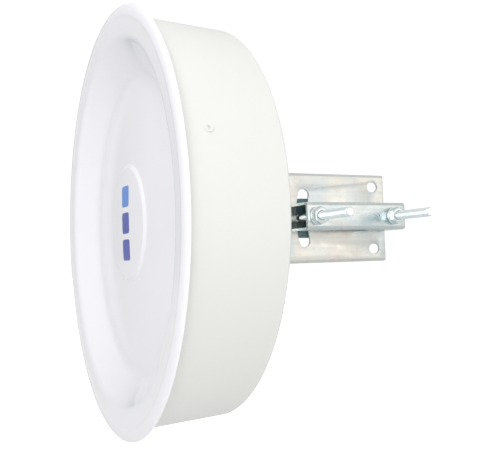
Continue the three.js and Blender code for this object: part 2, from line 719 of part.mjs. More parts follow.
function makeWasher(name, y) {
  const from = CHANNEL_FACE + GAP;
  const outline = [
    point(BOLT_RADIUS + 0.4, from),
    point(WASHER_RADIUS, from),
    point(WASHER_RADIUS, from + WASHER_THICKNESS),
    point(BOLT_RADIUS + 0.4, from + WASHER_THICKNESS),
  ];
  add(name, moved(turned(outline, SMALL_SIDES).applyMatrix4(TURNED_X), 0, y, BOLT_HEIGHT), BRIGHT_ZINC);
}

function makeNut(name, y) {
  const from = CHANNEL_FACE + WASHER_THICKNESS + 2 * GAP;
  const body = moved(extruded(hexShape(NUT_FLATS), NUT_HEIGHT).applyMatrix4(DRAWN_YZ), from, y, BOLT_HEIGHT);
  const bore = rodX(BOLT_RADIUS + 0.3, from - 1, from + NUT_HEIGHT + 1, y, BOLT_HEIGHT);
  add(name, cut(body, [bore]), BRIGHT_ZINC);
}

// ---------------------------------------------------------------- assembly

makeRadome();
makeGasket();
makeShroud();
makeShroudScrews();
makeReflector();
makeRimScrews();
makeFeedFlange();
makeFeedTube();
makeFeedHead();
makeTransducer();
PORT_TURNS.forEach((turn, i) => makePort(i + 1, turn));
makeBasePlate();
makeSidePlate();
makeHubFasteners();
makeBackingBar();
makeClampChannel();
for (const [place, y] of Object.entries(BOLT_PLACES)) {
  makeCarriageBolt(`${place}_bolt`, y);
  makeWasher(`${place}_washer`, y);
  makeNut(`${place}_nut`, y);
}

antenna.position.set(-SIDE_FACE, -POLE_Y, -BOLT_HEIGHT);

export default antenna;
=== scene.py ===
"""The looks of a shrouded dish antenna and its pole clamp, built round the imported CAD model.

Blender's units are metres, +Z is up and the dish looks along -Y. Outlines are in millimetres.
A turned outline holds (radius, depth) points, where depth runs back from the crest of the
radome's rim, along +Y.
"""

import json
import math

import bmesh
import bpy
from mathutils import Matrix, Vector


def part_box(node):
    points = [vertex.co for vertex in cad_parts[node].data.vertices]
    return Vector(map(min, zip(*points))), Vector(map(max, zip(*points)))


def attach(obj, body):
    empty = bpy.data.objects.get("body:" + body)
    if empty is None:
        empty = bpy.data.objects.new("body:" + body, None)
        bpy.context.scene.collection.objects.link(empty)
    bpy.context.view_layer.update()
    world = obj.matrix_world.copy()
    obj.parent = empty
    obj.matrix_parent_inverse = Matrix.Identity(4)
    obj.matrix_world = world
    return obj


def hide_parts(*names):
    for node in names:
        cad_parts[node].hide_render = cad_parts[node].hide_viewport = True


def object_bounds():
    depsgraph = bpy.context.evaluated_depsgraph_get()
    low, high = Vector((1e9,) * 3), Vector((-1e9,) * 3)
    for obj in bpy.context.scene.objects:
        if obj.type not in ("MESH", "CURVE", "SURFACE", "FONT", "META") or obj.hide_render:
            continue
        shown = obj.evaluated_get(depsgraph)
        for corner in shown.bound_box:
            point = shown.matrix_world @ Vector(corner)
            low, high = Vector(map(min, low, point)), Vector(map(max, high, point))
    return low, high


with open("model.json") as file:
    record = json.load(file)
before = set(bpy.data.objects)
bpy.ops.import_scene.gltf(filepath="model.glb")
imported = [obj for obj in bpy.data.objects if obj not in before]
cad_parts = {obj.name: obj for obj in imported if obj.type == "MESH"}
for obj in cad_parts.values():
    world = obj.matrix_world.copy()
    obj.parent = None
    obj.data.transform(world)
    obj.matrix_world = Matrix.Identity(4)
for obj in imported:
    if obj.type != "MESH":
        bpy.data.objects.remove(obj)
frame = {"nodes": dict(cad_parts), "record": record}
cad_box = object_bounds()

MM = 0.001
TAU = 2 * math.pi
X, Y, Z = Vector((1, 0, 0)), Vector((0, 1, 0)), Vector((0, 0, 1))
GAP = 0.3  # air that the CAD leaves between pieces that touch
SOFT = math.radians(60)  # only creases sharper than this show on moulded and spun pieces
CREASE = math.radians(32)

BODIES = frame["record"]["behaviour"]["bodies"]
BODY_OF = {node: body for body, nodes in BODIES.items() for node in nodes}
SLOT_OF = {row["node"]: row["material_slot"] for row in frame["record"]["subparts"]}


# ---------------------------------------------------------------- places and sizes from the frame

def centre(node):
    low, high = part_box(node)
    return (Vector(low) + Vector(high)) / 2


def size(node):
    """A node's width, depth and height in millimetres."""
    low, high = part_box(node)
    return (Vector(high) - Vector(low)) / MM


DISH = Vector((centre("radome").x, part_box("radome")[0][1], centre("radome").z))


def dish_box(node):
    """A node's lowest and highest corners in millimetres, measured from the rim's crest."""
    low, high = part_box(node)
    return (Vector(low) - DISH) / MM, (Vector(high) - DISH) / MM


def depths(node):
    low, high = dish_box(node)
    return low.y, high.y


def numbered(stem):
    return sorted(node for node in SLOT_OF if node.startswith(stem + "_") and node[-1].isdigit())


# ---------------------------------------------------------------- outlines

def rounded(corners, step=math.radians(9)):
    """An outline from corners (u, v) or (u, v, radius). A corner with a radius becomes an arc."""
    outline = []
    count = len(corners)
    for i, corner in enumerate(corners):
        here = Vector(corner[:2])
        radius = corner[2] if len(corner) > 2 else 0
        if not radius:
            outline.append(here)
            continue
        before = Vector(corners[i - 1][:2]) - here
        after = Vector(corners[(i + 1) % count][:2]) - here
        half = before.angle(after) / 2
        reach = min(radius / math.tan(half), 0.499 * before.length, 0.499 * after.length)
        radius = reach * math.tan(half)
        bisector = (before.normalized() + after.normalized()).normalized()
        middle = here + bisector * radius / math.sin(half)
        start = here + before.normalized() * reach - middle
        end = here + after.normalized() * reach - middle
        turn = math.atan2(start.x * end.y - start.y * end.x, start.dot(end))
        steps = max(2, math.ceil(abs(turn) / step))
        turns = [turn * k / steps for k in range(steps + 1)]
        outline += [middle + Matrix.Rotation(angle, 2) @ start for angle in turns]
    return outline


def circle(u, v, radius, sides=48):
    angles = [TAU * k / sides for k in range(sides)]
    return [Vector((u + radius * math.cos(a), v + radius * math.sin(a))) for a in angles]


def rectangle(u, v, width, height, radius):
    left, right, low, high = u - width / 2, u + width / 2, v - height / 2, v + height / 2
    corners = ((left, low), (right, low), (right, high), (left, high))
    return rounded([(*corner, radius) for corner in corners])


# ---------------------------------------------------------------- meshes

def finish_mesh(bm, name, sharp=CREASE):
    bmesh.ops.remove_doubles(bm, verts=bm.verts, dist=0.002 * MM)
    bmesh.ops.dissolve_degenerate(bm, edges=bm.edges, dist=0.001 * MM)
    bmesh.ops.recalc_face_normals(bm, faces=bm.faces)
    mesh = bpy.data.meshes.new(name)
    bm.to_mesh(mesh)
    bm.free()
    mesh.shade_smooth()
    mesh.set_sharp_from_angle(angle=sharp)
    obj = bpy.data.objects.new(name, mesh)
    bpy.context.scene.collection.objects.link(obj)
    return obj


def round_directions(axis, sides):
    """Outward directions round an axis along X, Y or Z, each with its angle."""
    side = Z if abs(axis.z) < 0.5 else X
    up = axis.cross(side)
    angles = [TAU * k / sides for k in range(sides)]
    return [(angle, side * math.cos(angle) + up * math.sin(angle)) for angle in angles]


def turn_mesh(bm, profile, axis, origin, sides):
    """Adds a turned solid. profile(angle) gives as many (radius, along) points at every angle."""
    columns = []
    for angle, outward in round_directions(axis, sides):
        places = [origin + (outward * r + axis * a) * MM for r, a in profile(angle)]
        columns.append([bm.verts.new(place) for place in places])
    on_axis = [r < 1e-6 for r, a in profile(0)]
    count = len(on_axis)
    for here, there in zip(columns, columns[1:] + columns[:1]):
        for i in range(count):
            j = (i + 1) % count
            if not (on_axis[i] and on_axis[j]):
                bm.faces.new((here[i], here[j], there[j], there[i]))


def turned(name, outline, axis=Y, origin=DISH, sides=64, sharp=CREASE):
    bm = bmesh.new()
    turn_mesh(bm, lambda angle: outline, axis, origin, sides)
    return finish_mesh(bm, name, sharp)


def plate_mesh(outline, holes, thickness, edge):
    """A flat plate from z = 0 up, in millimetres, with its edges and its holes' edges rounded."""
    bm = bmesh.new()
    for loop in [outline, *holes]:
        verts = [bm.verts.new((p.x, p.y, 0)) for p in loop]
        for a, b in zip(verts, verts[1:] + verts[:1]):
            bm.edges.new((a, b))
    bmesh.ops.triangle_fill(bm, use_beauty=True, edges=bm.edges[:], normal=Z)
    grown = bmesh.ops.extrude_face_region(bm, geom=bm.faces[:])
    top = [v for v in grown["geom"] if isinstance(v, bmesh.types.BMVert)]
    bmesh.ops.translate(bm, verts=top, vec=(0, 0, thickness))
    bmesh.ops.recalc_face_normals(bm, faces=bm.faces)
    level = [e for e in bm.edges if abs(e.verts[0].co.z - e.verts[1].co.z) < 1e-6]
    rims = [e for e in level if e.calc_face_angle() > SOFT]
    bmesh.ops.bevel(
        bm, geom=rims, offset=edge, segments=2, profile=0.6, affect="EDGES", clamp_overlap=True,
    )
    return bm


def placed(bm, name, u_axis, v_axis, origin, sharp=CREASE):
    """Moves a plate in millimetres to origin, with its outline's axes along u_axis and v_axis."""
    turn = Matrix((u_axis, v_axis, u_axis.cross(v_axis))).transposed().to_4x4()
    bm.transform(Matrix.Translation(origin) @ turn @ Matrix.Scale(MM, 4))
    return finish_mesh(bm, name, sharp)


def slice_mesh(bm, direction, places):
    """Cuts a mesh's faces along planes square to direction, at these distances from the origin."""
    for place in places:
        geometry = bm.verts[:] + bm.edges[:] + bm.faces[:]
        bmesh.ops.bisect_plane(bm, geom=geometry, plane_co=direction * place, plane_no=direction)


def bent_sheet(name, outline, holes, thickness, height, bend, face_x):
    """A sheet folded into a channel that is open towards -X, its web's outer face at face_x.

    The flat pattern has depth along u, and along v the length over the outer face from the
    web's middle. The outer radius of both bends is bend.
    """
    bm = plate_mesh(outline, holes, thickness, 0.35)
    flat = height / 2 - bend
    arc = bend * math.pi / 2
    folds = [side * (flat + arc * k / 8) for side in (-1, 1) for k in range(9)]
    slice_mesh(bm, Y, folds)
    for vert in bm.verts:
        depth, developed, inward = vert.co
        side = math.copysign(1, developed)
        past = abs(developed) - flat
        if past <= 0:
            x, z = face_x - inward, developed
        elif past <= arc:
            x = face_x - bend + (bend - inward) * math.cos(past / bend)
            z = side * (flat + (bend - inward) * math.sin(past / bend))
        else:
            x = face_x - bend - (past - arc)
            z = side * (height / 2 - inward)
        vert.co = (x, depth, z + BOLT_HEIGHT)
    bm.transform(Matrix.Translation(DISH) @ Matrix.Scale(MM, 4))
    return finish_mesh(bm, name)


def developed_length(face_x, height, bend, x):
    """How far a point of a channel's flange is from the web's middle, over the outer face."""
    return height / 2 - bend + bend * math.pi / 2 + (face_x - bend - x)


def thread_mesh(bm, axis, origin, major, pitch, start, end, sides=32):
    """Adds a threaded rod with a helical thread, clipped flat at both ends with chamfered tips."""
    minor = major - 0.61 * pitch
    shape = [(0.0, minor), (0.1, minor), (0.43, major), (0.57, major), (0.9, minor)]
    first = math.floor(start / pitch) - 2
    last = math.ceil(end / pitch) + 1
    rows = []
    directions = round_directions(axis, sides)
    for angle, outward in directions + [(TAU, directions[0][1])]:
        row = [(0, start)]
        for turn in range(first, last):
            for share, radius in shape:
                along = (turn + share + angle / TAU) * pitch
                clipped = min(max(along, start), end)
                tip = minor - 0.3 + min(clipped - start, end - clipped)
                row.append((min(radius, tip), clipped))
        row.append((0, end))
        rows.append([bm.verts.new(origin + (outward * r + axis * a) * MM) for r, a in row])
    for here, there in zip(rows, rows[1:]):
        for i in range(len(here) - 1):
            bm.faces.new((here[i], here[i + 1], there[i + 1], there[i]))


def hexagon_profile(flats, start, height, bore, corner=0.0):
    """A nut's profile round its axis: six sides, a 30 degree chamfer at both ends and a bore.

    corner is the angle of one of its corners.
    """
    chamfer_radius = 0.475 * flats
    lip = 0.7

    def profile(angle):
        from_corner = (angle - corner) % (TAU / 6)
        reach = flats / 2 / math.cos(TAU / 12 - from_corner)
        drop = (reach - chamfer_radius) * math.tan(math.radians(30))
        end = start + height
        outer = [
            (chamfer_radius, start),
            (reach, start + drop),
            (reach, end - drop),
            (chamfer_radius, end),
        ]
        if not bore:
            return [(0, start), *outer, (0, end)]
        return [*outer, (bore + lip, end), (bore, end - lip), (bore, start + lip), (bore + lip, start)]

    return profile


def hexagon(name, flats, start, height, bore, axis, origin, corner=0.0):
    bm = bmesh.new()
    turn_mesh(bm, hexagon_profile(flats, start, height, bore, corner), axis, origin, 72)
    return finish_mesh(bm, name)


def carve(obj, cutters):
    """Subtracts closed meshes from a piece and removes them."""
    for cutter in cutters:
        tool = obj.modifiers.new("carve", "BOOLEAN")
        tool.object = cutter
        tool.solver = "EXACT"
    graph = bpy.context.evaluated_depsgraph_get()
    carved = bpy.data.meshes.new_from_object(obj.evaluated_get(graph))
    obj.modifiers.clear()
    obj.data = carved
    for cutter in cutters:
        bpy.data.objects.remove(cutter)


def cross_cutters(axis, origin, along, width, arm, depth):
    """Two tapered bars that carve a screw's cross recess. along is the head's top, on the axis."""
    side = Z if abs(axis.z) < 0.5 else X
    up = axis.cross(side)
    half = width / 2
    cutters = []
    for u, v in ((side, up), (up, side)):
        bm = bmesh.new()
        ends = []
        for a, reach in ((along + 0.5, arm), (along - depth, 0.45 * arm)):
            corners = [(-reach, -half), (reach, -half), (reach, half), (-reach, half)]
            ends.append([bm.verts.new(origin + (u * p + v * q + axis * a) * MM) for p, q in corners])
        top, bottom = ends
        bm.faces.new(top)
        bm.faces.new(bottom)
        for i in range(4):
            j = (i + 1) % 4
            bm.faces.new((top[i], top[j], bottom[j], bottom[i]))
        cutters.append(finish_mesh(bm, "cross"))
    return cutters


# ---------------------------------------------------------------- pieces on the frame

def piece(obj, node, look):
    """obj stands for a CAD node, rides on its body and takes the given look as its material."""
    obj.data.materials.clear()
    obj.data.materials.append(look)
    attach(obj, BODY_OF[node])
    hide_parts(node)


def extra(obj, body, look):
    """obj is a small detail that the CAD leaves out."""
    obj.data.materials.clear()
    obj.data.materials.append(look)
    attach(obj, body)


# ---------------------------------------------------------------- material helpers

class Look:
    """A principled material with the few node chains that these finishes share."""

    def __init__(self, name, **constants):
        self.material = bpy.data.materials.new(name)
        self.material.use_nodes = True
        self.tree = self.material.node_tree
        self.shader = self.tree.nodes["Principled BSDF"]
        for socket, value in constants.items():
            self.shader.inputs[socket.replace("_", " ")].default_value = value
        self.place = self.node("ShaderNodeTexCoord").outputs["Object"]

    def node(self, kind, **settings):
        made = self.tree.nodes.new(kind)
        for name, value in settings.items():
            setattr(made, name, value)
        return made

    def plug(self, value, socket):
        """Links an output to a socket, or sets the socket to a number, tuple or colour."""
        if isinstance(value, bpy.types.NodeSocket):
            self.tree.links.new(value, socket)
        elif isinstance(value, tuple) and socket.type == "RGBA":
            socket.default_value = (*value, 1)
        else:
            socket.default_value = value

    def math(self, operation, a, b=0.0):
        made = self.node("ShaderNodeMath", operation=operation)
        self.plug(a, made.inputs[0])
        self.plug(b, made.inputs[1])
        return made.outputs[0]

    def vector(self, operation, a, b):
        made = self.node("ShaderNodeVectorMath", operation=operation)
        self.plug(a, made.inputs[0])
        self.plug(b, made.inputs[1])
        return made.outputs[0]

    def noise(self, scale, detail=3.0, distortion=0.0, place=None):
        """Noise from 0 to 1. Its scale is in cycles a metre, or three of them for a grain."""
        made = self.node("ShaderNodeTexNoise")
        made.inputs["Detail"].default_value = detail
        made.inputs["Distortion"].default_value = distortion
        stretch = scale if isinstance(scale, tuple) else (scale, scale, scale)
        made.inputs["Scale"].default_value = 1
        self.plug(self.vector("MULTIPLY", place or self.place, stretch), made.inputs["Vector"])
        return made.outputs["Fac"]

    def ramp(self, factor, *stops):
        """Maps a factor through (position, colour or grey) stops."""
        made = self.node("ShaderNodeValToRGB")
        elements = made.color_ramp.elements
        while len(elements) < len(stops):
            elements.new(0.5)
        for element, (position, color) in zip(elements, stops):
            element.position = position
            element.color = (*color, 1) if isinstance(color, tuple) else (color, color, color, 1)
        self.plug(factor, made.inputs["Fac"])
        return made.outputs["Color"]

    def mix(self, factor, a, b, blend="MIX"):
        made = self.node("ShaderNodeMix", data_type="RGBA", blend_type=blend)
        self.plug(factor, made.inputs[0])
        self.plug(a, made.inputs[6])
        self.plug(b, made.inputs[7])
        return made.outputs[2]

    def shaded(self, color, *shades):
        """A colour multiplied by grey patterns."""
        for shade in shades:
            color = self.mix(1.0, color, shade, "MULTIPLY")
        return color

    def color(self, output):
        self.plug(output, self.shader.inputs["Base Color"])

    def roughness(self, factor, low, high):
        made = self.node("ShaderNodeMapRange")
        made.inputs["To Min"].default_value = low
        made.inputs["To Max"].default_value = high
        self.plug(factor, made.inputs["Value"])
        self.plug(made.outputs["Result"], self.shader.inputs["Roughness"])

    def bumps(self, *layers):
        """Bump layers, each (height, strength, distance in metres)."""
        below = None
        for height, strength, distance in layers:
            bump = self.node("ShaderNodeBump")
            bump.inputs["Strength"].default_value = strength
            bump.inputs["Distance"].default_value = distance
            self.plug(height, bump.inputs["Height"])
            if below:
                self.plug(below, bump.inputs["Normal"])
            below = bump.outputs["Normal"]
        self.plug(below, self.shader.inputs["Normal"])

    def edges(self):
        """White on outer edges and black elsewhere."""
        pointed = self.node("ShaderNodeNewGeometry").outputs["Pointiness"]
        return self.ramp(pointed, (0.52, 0.0), (0.60, 1.0))

    def from_axis(self):
        """Distance from the dish's axis in metres, as a vector for a noise in rings."""
        from_crest = self.vector("SUBTRACT", self.place, tuple(DISH))
        across = self.vector("MULTIPLY", from_crest, (1.0, 0.0, 1.0))
        length = self.node("ShaderNodeVectorMath", operation="LENGTH")
        self.plug(across, length.inputs[0])
        rings = self.node("ShaderNodeCombineXYZ")
        self.plug(length.outputs["Value"], rings.inputs["X"])
        return rings.outputs[0]


# ---------------------------------------------------------------- materials

def moulded_plastic(name, light, dark, low, high, grain, **constants):
    """White moulded plastic: a faint cloudy tone, a fine grain and a soft orange peel."""
    look = Look(name, IOR=1.5, **constants)
    cloud = look.ramp(look.noise(7.0, 2.0), (0.3, 0.0), (0.7, 1.0))
    speck = look.ramp(look.noise(700.0, 2.0), (0.28, 0.97), (0.38, 1.0))
    look.color(look.shaded(look.mix(cloud, dark, light), speck))
    look.roughness(look.noise(26.0, 4.0), low, high)
    look.bumps((look.noise(45.0, 1.0), 0.12, 0.0004), (look.noise(grain, 3.0), 0.12, 0.00006))
    return look.material


def zinc_plate(name, tints, low, high, grain, shine, metallic=1.0):
    """Plated rolled steel: passivation tints, a rolled grain and rubbed bright edges."""
    look = Look(name, Metallic=metallic)
    film = look.noise(16.0, 4.0, 1.4)
    streak = look.noise(grain, 4.0, 0.2)
    tone = look.shaded(
        look.ramp(film, *tints),
        look.ramp(streak, (0.32, 0.88), (0.68, 1.0)),
        look.ramp(look.noise(210.0, 3.0), (0.30, 0.93), (0.45, 1.0)),
    )
    look.color(look.mix(look.math("MULTIPLY", look.edges(), 0.5), tone, shine))
    look.roughness(look.math("MULTIPLY", look.noise(70.0, 3.0), 1.4), low, high)
    look.bumps((look.noise(160.0, 3.0), 0.10, 0.00012), (streak, 0.12, 0.00005))
    return look.material


def turned_metal(name, color, low, high, spacing, strength):
    """Metal spun or turned about the dish's axis: rings of tool marks that drift a little."""
    look = Look(name, Metallic=1.0)
    marks = look.noise(spacing, 4.0, 0.0, look.from_axis())
    cloud = look.noise(9.0, 3.0)
    rings = look.ramp(marks, (0.3, 0.84), (0.7, 1.0))
    haze = look.ramp(cloud, (0.2, 0.92), (0.8, 1.0))
    look.color(look.shaded(color, rings, haze))
    look.roughness(cloud, low, high)
    look.bumps((marks, strength, 0.00012), (look.noise(300.0, 2.0), 0.06, 0.00004))
    return look.material


def mottled(name, color, low, high, scale, strength, **constants):
    """Small pieces: a mottled tone, an uneven sheen and a fine surface grain."""
    look = Look(name, **constants)
    look.color(look.shaded(color, look.ramp(look.noise(scale, 4.0), (0.25, 0.84), (0.75, 1.0))))
    look.roughness(look.noise(2 * scale, 3.0), low, high)
    look.bumps((look.noise(5 * scale, 3.0), strength, 0.0001))
    return look.material


def printed_ink(name, color):
    """Screen printed ink: slightly uneven cover and a fine mesh texture."""
    look = Look(name, IOR=1.5)
    thin = look.ramp(look.noise(500.0, 2.0), (0.30, 0.88), (0.50, 1.0))
    look.color(look.shaded(color, thin, look.ramp(look.noise(40.0, 2.0), (0.3, 0.93), (0.7, 1.0))))
    look.roughness(look.noise(90.0, 2.0), 0.28, 0.4)
    look.bumps((look.noise(1500.0, 1.0), 0.15, 0.00003))
    return look.material


ROLLED = (170.0, 9.0, 170.0)  # a rolled grain along the bracket's depth
DRAWN = (30.0, 140.0, 140.0)  # a drawn grain along the bolts

RADOME_WHITE = moulded_plastic(
    "radome_white",
    (0.885, 0.88, 0.925),
    (0.87, 0.865, 0.905),
    0.18,
    0.26,
    900.0,
    Coat_Weight=0.3,
    Coat_Roughness=0.05,
)
SHROUD_WHITE = moulded_plastic(
    "shroud_white", (0.75, 0.76, 0.73), (0.735, 0.745, 0.715), 0.40, 0.52, 1300.0,
)
PASSIVATED = zinc_plate(
    "passivated_zinc",
    [
        (0.24, (0.58, 0.67, 0.69)),
        (0.42, (0.63, 0.68, 0.67)),
        (0.56, (0.68, 0.69, 0.63)),
        (0.72, (0.69, 0.66, 0.63)),
    ],
    0.18,
    0.36,
    ROLLED,
    (0.84, 0.88, 0.88),
)
JAW_ZINC = zinc_plate(
    "blue_passivated_zinc",
    [
        (0.24, (0.50, 0.62, 0.67)),
        (0.42, (0.60, 0.68, 0.69)),
        (0.60, (0.65, 0.70, 0.68)),
        (0.76, (0.66, 0.66, 0.65)),
    ],
    0.16,
    0.32,
    ROLLED,
    (0.84, 0.90, 0.91),
)
BRIGHT = zinc_plate(
    "bright_zinc",
    [
        (0.26, (0.66, 0.78, 0.81)),
        (0.50, (0.78, 0.86, 0.87)),
        (0.66, (0.82, 0.86, 0.85)),
        (0.80, (0.75, 0.79, 0.84)),
    ],
    0.12,
    0.26,
    DRAWN,
    (0.92, 0.94, 0.95),
)
# The backing bar's steel is darkened, and its dark teal tint is painted shade and painted reflection:
# it stands in for the shade inside the clamp channel and behind the side plate's slot.
DARK_STEEL_PAINTED_SHADE = zinc_plate(
    "dark_steel",
    [(0.30, (0.03, 0.12, 0.15)), (0.48, (0.06, 0.15, 0.17)), (0.68, (0.13, 0.17, 0.155))],
    0.25,
    0.45,
    ROLLED,
    (0.38, 0.42, 0.43),
    0.25,
)
SPUN = turned_metal("spun_aluminium", (0.78, 0.79, 0.80), 0.26, 0.38, 420.0, 0.35)
MACHINED = turned_metal("machined_aluminium", (0.76, 0.77, 0.78), 0.22, 0.34, 1100.0, 0.30)
NICKEL = mottled("port_nickel", (0.70, 0.68, 0.62), 0.14, 0.28, 90.0, 0.08, Metallic=1.0)
BRASS = mottled("port_brass", (0.83, 0.64, 0.30), 0.16, 0.28, 120.0, 0.08, Metallic=1.0)
PTFE = mottled("white_ptfe", (0.84, 0.84, 0.82), 0.42, 0.55, 60.0, 0.10)
RUBBER = mottled("gasket_rubber", (0.030, 0.030, 0.032), 0.7, 0.9, 160.0, 0.4)
DARK_BLUE = printed_ink("mark_dark_blue", (0.055, 0.085, 0.42))
LIGHT_BLUE = printed_ink("mark_light_blue", (0.10, 0.27, 0.72))


# ---------------------------------------------------------------- radome

RIM_RADIUS = size("radome").x / 2
RIM_DEPTH = 4.4
CREST_RADIUS = 208.5  # where the rim starts to roll back
RIDGE_RADIUS = 188.5  # where the rim's land bends into the sloping wall
RIDGE_DEPTH = 1.6
VALLEY_RADIUS = 155
VALLEY_DEPTH = 26
FLOOR_CROWN = 9
BOSS_RADIUS = 60
BOSS_HEIGHT = 2.2
RADOME_WALL = 3
SKIRT_END = depths("radome")[1]
SHROUD_FRONT, SHROUD_REAR = depths("shroud")
SHROUD_RADIUS = size("shroud").x / 2
SHROUD_TAPER = 4.6
SHROUD_WALL = 2.5


def shroud_radius(depth):
    return SHROUD_RADIUS - SHROUD_TAPER * (depth - SHROUD_FRONT) / (SHROUD_REAR - SHROUD_FRONT)


def floor_depth(radius):
    return VALLEY_DEPTH - FLOOR_CROWN * (1 - (radius / VALLEY_RADIUS) ** 2)


def rim_roll():
    """The rim rolls back from its crest in a quarter of an ellipse."""
    steps = [TAU / 4 * k / 9 for k in range(10)]
    width, drop = RIM_RADIUS - CREST_RADIUS, RIM_DEPTH - 0.8
    return [(CREST_RADIUS + width * math.sin(a), drop * (1 - math.cos(a))) for a in steps]


def make_radome():
    skirt = shroud_radius(SHROUD_FRONT) - SHROUD_WALL - 2 * GAP
    skirt_tip = shroud_radius(SKIRT_END) - SHROUD_WALL - 2 * GAP
    boss = [(r, floor_depth(r) - BOSS_HEIGHT) for r in range(0, BOSS_RADIUS - 4, 6)]
    floor = [(r, floor_depth(r)) for r in range(BOSS_RADIUS + 8, VALLEY_RADIUS - 9, 8)]
    back = [(r, floor_depth(r) + RADOME_WALL) for r in range(VALLEY_RADIUS - 11, 0, -16)]
    corners = [
        *boss,
        (BOSS_RADIUS - 2.2, floor_depth(BOSS_RADIUS - 2.2) - BOSS_HEIGHT, 2),
        (BOSS_RADIUS + 1.8, floor_depth(BOSS_RADIUS + 1.8), 2),
        *floor,
        (VALLEY_RADIUS + 1.6, floor_depth(VALLEY_RADIUS + 1.6), 24),
        (RIDGE_RADIUS, RIDGE_DEPTH, 16),
        (CREST_RADIUS - 2, 0.5, 6),
        *rim_roll(),
        (RIM_RADIUS, RIM_DEPTH, 0.7),
        (SHROUD_RADIUS + 1, RIM_DEPTH, 0.5),
        (SHROUD_RADIUS + 1, SHROUD_FRONT - 2, 0.3),
        (skirt, SHROUD_FRONT - 2, 0.3),
        (skirt_tip, SKIRT_END, 0.6),
        (skirt_tip - SHROUD_WALL, SKIRT_END, 0.6),
        (skirt - SHROUD_WALL, RADOME_WALL + 0.9, 1.5),
        (RIDGE_RADIUS + 1, RIDGE_DEPTH + RADOME_WALL, 24),
        (VALLEY_RADIUS + 2.4, VALLEY_DEPTH + RADOME_WALL + 0.2, 24),
        *back,
        (0, floor_depth(0) + RADOME_WALL),
    ]
    piece(turned("radome_shell", rounded(corners), sides=288, sharp=SOFT), "radome", RADOME_WHITE)


def make_mark():
    """A plain printed mark on the boss: three stacked rounded bars, two dark and one light."""
    width, height, pitch = 25, 22, 28
    for number, row in enumerate((-1, 0, 1), 1):
        bm = plate_mesh(rectangle(0, row * pitch, width, height, 4), [], 0.2, 0.05)
        slice_mesh(bm, Y, [row * pitch + 0.25 * k * height for k in (-1, 0, 1)])
        slice_mesh(bm, X, [-0.25 * width, 0.25 * width])
        for vert in bm.verts:
            x, z, proud = vert.co
            surface = floor_depth(math.hypot(x, z)) - BOSS_HEIGHT
            vert.co = (x, surface + 0.1 - proud, z)
        bm.transform(Matrix.Translation(DISH) @ Matrix.Scale(MM, 4))
        bar = finish_mesh(bm, f"printed_bar_{number}", SOFT)
        extra(bar, BODY_OF["radome"], LIGHT_BLUE if row == 1 else DARK_BLUE)


def make_gasket():
    low, high = depths("radome_gasket")
    outer = size("radome_gasket").x / 2
    inner = SHROUD_RADIUS - SHROUD_WALL + GAP
    corners = [(inner, low, 0.5), (outer, low, 0.5), (outer, high, 0.5), (inner, high, 0.5)]
    piece(turned("gasket_ring", rounded(corners), sides=192), "radome_gasket", RUBBER)


# ---------------------------------------------------------------- shroud

SHROUD_CORNER = 3
SHROUD_FLANGE_RADIUS = 188
DRAIN_DEPTH = 88
DRAIN_RADIUS = 3
SCREW_SHANK_RADIUS = 2
SHROUD_SCREW_LENGTH = 9
SHROUD_HEAD_RADIUS = 4.5
SHROUD_HEAD_RISE = 1.1


def hole_cutter(axis, origin, radius, start, end):
    outline = [(0, start), (radius, start), (radius, end), (0, end)]
    return turned("hole", outline, axis, origin, 32)


def make_shroud():
    rear = shroud_radius(SHROUD_REAR)
    corners = [
        (SHROUD_RADIUS, SHROUD_FRONT, 0.8),
        (rear, SHROUD_REAR, SHROUD_CORNER),
        (SHROUD_FLANGE_RADIUS, SHROUD_REAR, 0.8),
        (SHROUD_FLANGE_RADIUS, SHROUD_REAR - SHROUD_WALL, 0.8),
        (rear - SHROUD_WALL, SHROUD_REAR - SHROUD_WALL, SHROUD_CORNER - SHROUD_WALL),
        (SHROUD_RADIUS - SHROUD_WALL, SHROUD_FRONT, 0.8),
    ]
    shroud = turned("shroud_shell", rounded(corners), sides=288, sharp=SOFT)
    drain_centre = DISH + Y * DRAIN_DEPTH * MM
    carve(shroud, [hole_cutter(-Z, drain_centre, DRAIN_RADIUS, 190, 215)])
    piece(shroud, "shroud", SHROUD_WHITE)


def make_shroud_screw(node):
    """A low white screw head on the shroud, with a cross recess."""
    across = centre(node) - DISH
    outward = Vector((across.x, 0, across.z)).normalized()
    seat = shroud_radius(across.y / MM)
    top = seat + SHROUD_HEAD_RISE
    corners = [
        (0, seat - SHROUD_SCREW_LENGTH),
        (SCREW_SHANK_RADIUS, seat - SHROUD_SCREW_LENGTH, 0.5),
        (SCREW_SHANK_RADIUS, seat, 0.1),
        (SHROUD_HEAD_RADIUS, seat, 0.2),
        (SHROUD_HEAD_RADIUS - 0.1, top, 0.7),
        (0, top),
    ]
    upright = Vector((0, 0, 0))
    head = turned(node + "_head", rounded(corners), Z, upright, 32)
    carve(head, cross_cutters(Z, upright, top, 0.8, 2.2, 0.8))
    turn = outward.to_track_quat("Z", "Y").to_matrix().to_4x4()
    head.data.transform(Matrix.Translation(DISH + Y * across.y) @ turn)
    piece(head, node, SHROUD_WHITE)


# ---------------------------------------------------------------- reflector

REFLECTOR_WALL = 2
REFLECTOR_RADIUS = 186
FLAT_RADIUS = 58
VERTEX = 168
REFLECTOR_FRONT = depths("reflector")[0]
TUBE_RADIUS = size("feed_tube").x / 2
RIM_HEAD_RADIUS = 4


